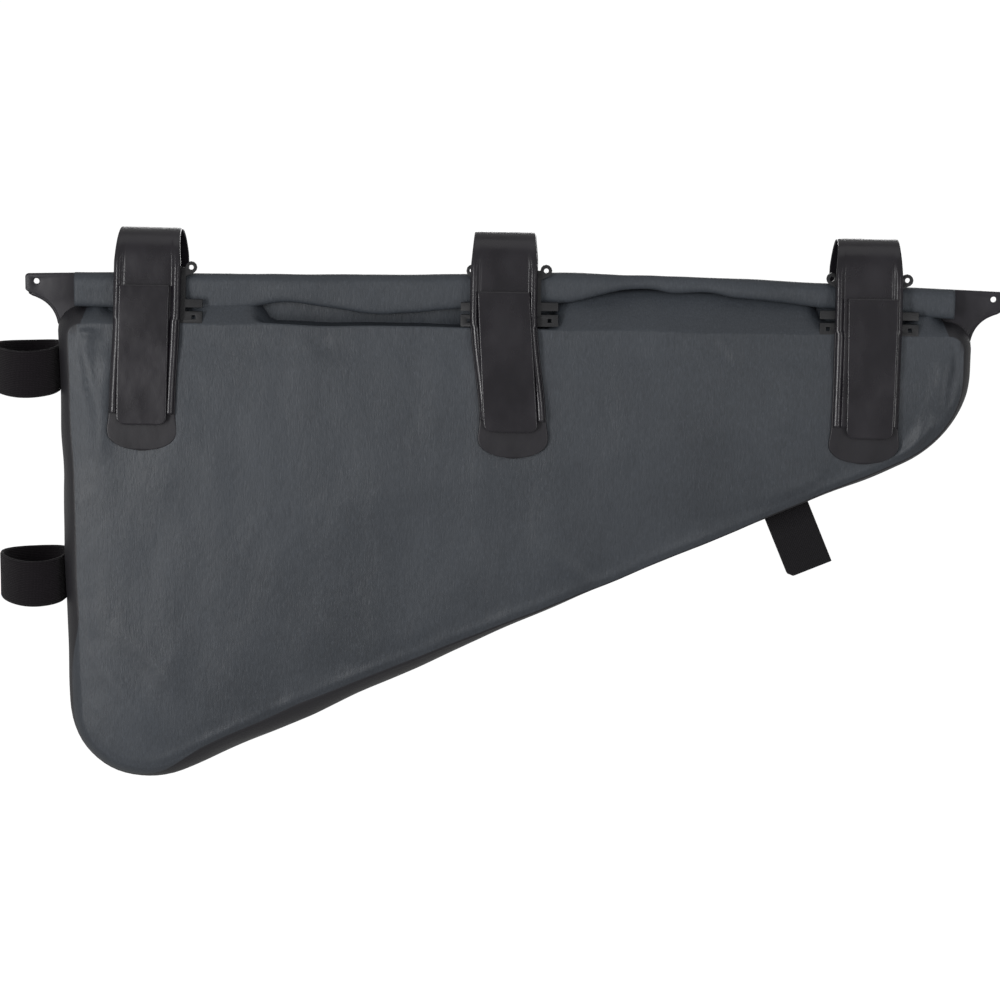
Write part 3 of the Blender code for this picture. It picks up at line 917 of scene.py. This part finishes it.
def arch_strap(number, look):
    """The strap from under the flap, round the tube and down the back."""
    arch_shift, _, _, patch_shift = STRAPS[number - 1][:4]
    arch_height = STRAPS[number - 1][6]
    middle = strap_x(number)
    stand = BASE_STAND + STRAP_STEP
    lift = BASE_LIFT + STRAP_STEP
    corners = [panel_point(lift, -0.079, middle), panel_point(lift, KNEE_Z, middle),
               lean_point(stand, LEAN_LOW_Z), lean_point(stand, -0.012)]
    radius = abs(lean_point(stand, 0.0).x) * math.cos(STRAP_LEAN)
    back_knee = panel_point(-0.001, -0.029, middle)
    first = math.pi - STRAP_LEAN
    last = math.atan2(back_knee.y, back_knee.x) + math.acos(radius / back_knee.length)
    corners += [Vector((math.cos(a), math.sin(a))) * radius for a in np.linspace(first, last, 40)]
    corners += [back_knee, panel_point(-0.0012, -0.045, middle), panel_point(-0.0012, -0.068, middle)]
    corners = [Vector((p.x, p.y * arch_height)) if p.y > 0 else p for p in corners]
    path = even_path(corners, PATH_STEP, 8)
    halves = []
    centres = []
    shares = []
    for p in path:
        crown = min(1.0, max(0.0, p.y) / radius)
        shares.append(1 - smooth((p.y + 0.004) / 0.020))
        halves.append(BAND_HALF - 0.0015 * crown - (0.0006 if p.y < -0.03 else 0.0))
        low = smooth((-0.020 - p.y) / 0.066) if p.x < 0 else 0.0
        centres.append(middle + arch_shift + (patch_shift - arch_shift) * low)
    data = bmesh.new()
    strip(data, path, halves, centres, SHEET, rimmed(RIM, RIM_RISE, 0.0003), shares)
    return add_piece(f"arch_strap_{number}", data, (look,), (f"top_strap_{number}",))


def flap(number, look):
    """The folded-back strap end that lies over the tongue, with round lower corners."""
    middle = strap_x(number)
    _, top_shift, foot_shift, _, top_half, foot_half, _ = STRAPS[number - 1]
    low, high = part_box(f"strap_flap_{number}")
    stand = BASE_STAND + FLAP_STEP
    lift = BASE_LIFT + FLAP_STEP
    corners = [lean_point(stand, high.z), lean_point(stand, LEAN_LOW_Z)]
    corners += [panel_point(lift, z, middle) for z in (KNEE_Z, -0.060, -0.075, low.z)]
    path = even_path(corners, PATH_STEP, 14)
    halves = []
    centres = []
    for p in path:
        ahead = (path[-1] - p).length
        cut = FLAP_CORNER - math.sqrt(max(0.0, FLAP_CORNER ** 2 - max(0.0, FLAP_CORNER - ahead) ** 2))
        down = (high.z - p.y) / (high.z - low.z)
        halves.append(top_half + (foot_half - top_half) * down - cut)
        centres.append(middle + top_shift + (foot_shift - top_shift) * down)
    data = bmesh.new()
    strip(data, path, halves, centres, FLAP_SHEET, raised_panel(0.0038, 0.0032, 0.0012, 0.0002))
    return add_piece(f"flap_{number}", data, (look,), (f"strap_flap_{number}",))


def clip(number, look):
    """Moulded clip: the frame's own form with rounded edges."""
    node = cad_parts[f"strap_clip_{number}"]
    data = bmesh.new()
    data.from_mesh(node.data)
    bmesh.ops.remove_doubles(data, verts=data.verts, dist=0.00001)
    bmesh.ops.dissolve_limit(data, angle_limit=math.radians(4), verts=data.verts, edges=data.edges)
    right, down, turn, rear_share = CLIPS[number - 1]
    centre = Vector((strap_x(number), 0.0, 0.0))
    for corner in data.verts:
        corner.co.x = centre.x + (corner.co.x - centre.x) * (rear_share if corner.co.x < centre.x else 1.0)
    spin = Matrix.Translation(centre) @ Matrix.Rotation(math.radians(turn), 4, "Y")
    step = Matrix.Translation((right, 0.0, down)) @ spin @ Matrix.Translation(-centre)
    data.transform(step)
    piece = add_piece(f"clip_{number}", data, (look,), (f"strap_clip_{number}",))
    soft = piece.modifiers.new("edge", "BEVEL")
    soft.width = 0.0005
    soft.segments = 3
    soft.limit_method = "ANGLE"
    return piece


# Webbing

def tape(data, path, halves, place):
    """Woven tape along a path in a plane, with rounded edges; place puts a flat point into space."""
    run_layer = data.verts.layers.float_vector.new("run")
    rings = []
    travelled = 0.0
    sides = 24
    for i, p in enumerate(path):
        if i:
            travelled += (p - path[i - 1]).length
        out = edge_normal(path[max(i - 1, 0)], path[min(i + 1, len(path) - 1)])
        low, high = halves[i]
        ring = []
        for face in (1, -1):
            for k in range(sides + 1):
                u = (k / sides if face > 0 else 1 - k / sides)
                across = low + (high - low) * u
                edge = min(across - low, high - across)
                round_off = math.sqrt(max(0.0, 1 - max(0.0, 1 - edge / 0.0008) ** 2))
                spot = p + out * (face * WEBBING_SHEET / 2 * (0.35 + 0.65 * round_off))
                made = data.verts.new(place(spot, across))
                made[run_layer] = (across, travelled, 0.0)
                ring.append(made)
        rings.append(ring)
    count = len(rings[0])
    for one, two in zip(rings, rings[1:]):
        for i in range(count):
            j = (i + 1) % count
            data.faces.new((one[i], one[j], two[j], two[i]))
    data.faces.new(rings[0])
    data.faces.new(rings[-1])


def seat_loop(name, node, look):
    low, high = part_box(node)
    middle = (low.z + high.z) / 2
    root = high.x - WEBBING_SHEET / 2
    reach = high.x - low.x - WEBBING_SHEET
    depth = (high.y - low.y - WEBBING_SHEET) / 2
    half = [Vector((root + 0.0012, 0.0030))] + [Vector((root - reach * out, depth * wide))
                                                for out, wide in LOOP_SECTIONS]
    corners = half + [Vector((root - reach, 0.0))] + [Vector((p.x, -p.y)) for p in reversed(half)]
    path = even_path(corners, 0.0015, 6)
    halves = [(-WEBBING / 2, WEBBING / 2)] * len(path)

    def place(flat, across):
        sag = 0.0012 * math.sin(math.pi * min(1.0, (root - flat.x) / reach))
        return (flat.x, flat.y, middle + across - sag)

    data = bmesh.new()
    tape(data, path, halves, place)
    return add_piece(name, data, (look,), (node,))


def tail_strap(look):
    rear = corner_point(CORNERS[3])
    front = corner_point(CORNERS[4])
    root = rear.lerp(front, TAIL_SHARE)
    along = (front - rear).normalized()
    out = -edge_normal(rear, front)
    lift = GAP + WEBBING_SHEET / 2
    corners = [Vector((0.010, lift)), Vector((0.0, lift)), Vector((0.0005, TAIL_DROP / 2)),
               Vector((0.0, TAIL_DROP))]
    path = even_path(corners, 0.0012, 4)
    halves = [(-WEBBING / 2, WEBBING / 2)] * len(path)
    cut = 0.0026
    for i, p in enumerate(path):
        halves[i] = (-WEBBING / 2 + max(0.0, cut - (TAIL_DROP - p.y)), WEBBING / 2)

    def place(flat, across):
        spot = root + along * across + out * flat.y
        return (spot.x, flat.x, spot.y)

    data = bmesh.new()
    tape(data, path, halves, place)
    return add_piece("tail_strap", data, (look,), ("down_strap",))


# Camera, floor and light

def add_camera():
    back = Vector((math.sin(AZIMUTH) * math.cos(ELEVATION), -math.cos(AZIMUTH) * math.cos(ELEVATION),
                   math.sin(ELEVATION)))
    level = Vector((0, 0, 1)).cross(back).normalized()
    upright = back.cross(level)
    right = level * math.cos(ROLL_ANGLE) + upright * math.sin(ROLL_ANGLE)
    up = upright * math.cos(ROLL_ANGLE) - level * math.sin(ROLL_ANGLE)
    eye = TARGET + back * CAMERA_DISTANCE
    lens = bpy.data.cameras.new("camera")
    lens.sensor_width = SENSOR
    lens.lens = SENSOR * CAMERA_DISTANCE / (SCALE * PIXELS)
    lens.clip_end = 200.0
    camera = bpy.data.objects.new("camera", lens)
    camera.matrix_world = Matrix((right, up, back)).transposed().to_4x4()
    camera.matrix_world.translation = eye
    bpy.context.scene.collection.objects.link(camera)
    bpy.context.scene.camera = camera


def add_floor():
    """Plain pale floor far below the hanging bag."""
    data = bmesh.new()
    corners = [(-1, -1), (1, -1), (1, 1), (-1, 1)]
    data.faces.new([data.verts.new((x * FLOOR_HALF, y * FLOOR_HALF, FLOOR_Z)) for x, y in corners])
    mesh = bpy.data.meshes.new("floor")
    data.to_mesh(mesh)
    data.free()
    floor = bpy.data.objects.new("floor", mesh)
    bpy.context.scene.collection.objects.link(floor)
    look = bpy.data.materials.new("floor_white")
    look.use_nodes = True
    shader = look.node_tree.nodes["Principled BSDF"]
    shader.inputs["Base Color"].default_value = (0.1, 0.1, 0.1, 1.0)
    shader.inputs["Specular IOR Level"].default_value = 0.0
    shader.inputs["Emission Color"].default_value = (1, 1, 1, 1)
    shader.inputs["Emission Strength"].default_value = 1.0
    mesh.materials.append(look)
    floor.visible_diffuse = False
    floor.visible_glossy = False


def add_light(name, spot, aim, size, power):
    lamp = bpy.data.lights.new(name, "AREA")
    lamp.shape = "RECTANGLE"
    lamp.size = size[0]
    lamp.size_y = size[1]
    lamp.energy = power
    made = bpy.data.objects.new(name, lamp)
    made.location = spot
    made.rotation_euler = (Vector(spot) - Vector(aim)).to_track_quat("Z", "Y").to_euler()
    bpy.context.scene.collection.objects.link(made)
    return made


def add_lights():
    world = bpy.data.worlds.new("studio")
    bpy.context.scene.world = world
    world.use_nodes = True
    sky = world.node_tree.nodes["Background"]
    sky.inputs["Color"].default_value = (1, 1, 1, 1)
    sky.inputs["Strength"].default_value = WORLD_LIGHT
    middle = (0.0, 0.0, -0.12)
    add_light("key_left", (-1.18, -1.62, -0.08), middle, (0.35, 1.3), 27.0)
    front = add_light("front", (0.2, -2.4, 1.0), middle, (1.8, 1.2), 22.0)
    front.visible_glossy = False
    add_light("top", (0.0, -0.2, 1.8), middle, (2.0, 1.2), 4.0)
    add_light("fill_right", (1.18, -1.62, -0.05), middle, (0.30, 1.2), 9.0)
    add_light("back", (0.3, 2.2, 0.3), middle, (1.6, 1.2), 24.0)


def build():
    body_look = body_material()
    roll_look = coated_fabric("roll_fabric", (0.0262, 0.0302, 0.0362), 0.22, 0.54, 0.34)[0]
    strap_look = strap_material("strap_sheet", (0.0088, 0.0077, 0.0100), 0.28, 0.40)
    patch_look = strap_material("patch_sheet", (0.0105, 0.0097, 0.0119), 0.42, 0.32)
    tab_look = strap_material("end_sheet", (0.0145, 0.0134, 0.0165), 0.46, 0.22)
    tape_look = webbing_material("webbing", (0.0050, 0.0036, 0.0050))
    tail_look = webbing_material("tail_webbing", (0.0090, 0.0082, 0.0095))
    clip_look = plastic_material()
    bag_shell(body_look)
    neck(roll_look)
    roll(roll_look)
    end_tab(-1, tab_look)
    end_tab(1, tab_look)
    for number in (1, 2, 3):
        base_strip(number, patch_look)
        arch_strap(number, strap_look)
        flap(number, strap_look)
        clip(number, clip_look)
    seat_loop("loop_upper", "seat_loop_upper", tape_look)
    seat_loop("loop_lower", "seat_loop_lower", tape_look)
    tail_strap(tail_look)


bpy.context.scene.view_settings.view_transform = "Standard"
add_camera()
add_floor()
add_lights()
build()
